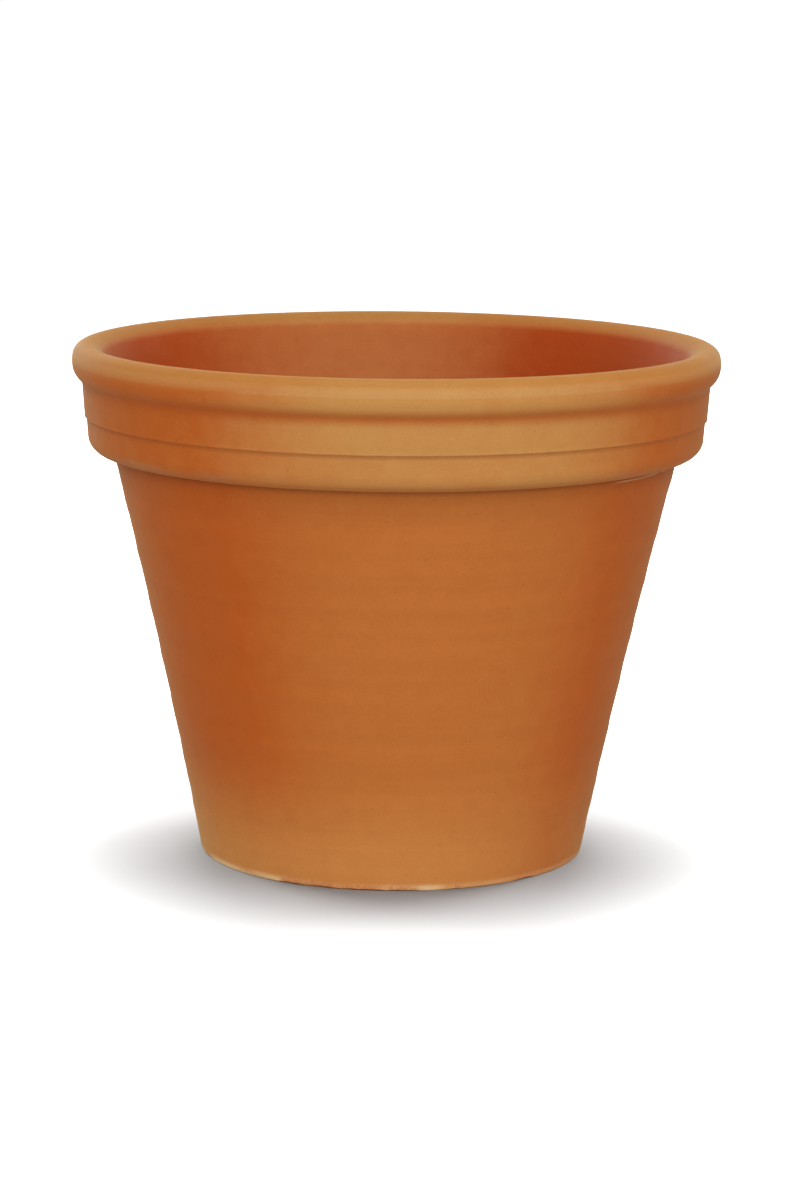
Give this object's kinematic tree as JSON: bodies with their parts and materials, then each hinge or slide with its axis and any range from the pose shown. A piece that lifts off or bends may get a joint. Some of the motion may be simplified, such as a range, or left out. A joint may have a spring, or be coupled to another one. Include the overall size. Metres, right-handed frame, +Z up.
{
  "type": "flower pot",
  "caption": "Wide terracotta flower pot with a rolled lip, a stepped collar, a flaring wall and a drain hole in its floor.",
  "frame": {"origin": "centre of the foot ring, on the surface that the pot stands on", "axes": "+Z up along the pot's axis of turning; X and Y are level, and the pot is the same all round"},
  "size_m": [0.27, 0.27, 0.215],
  "materials": {
    "terracotta": "unglazed fired clay, matt, with a paler salt bloom on the collar and lip"
  },
  "bodies": {
    "root": {"pot": "terracotta"}
  },
  "joints": []
}
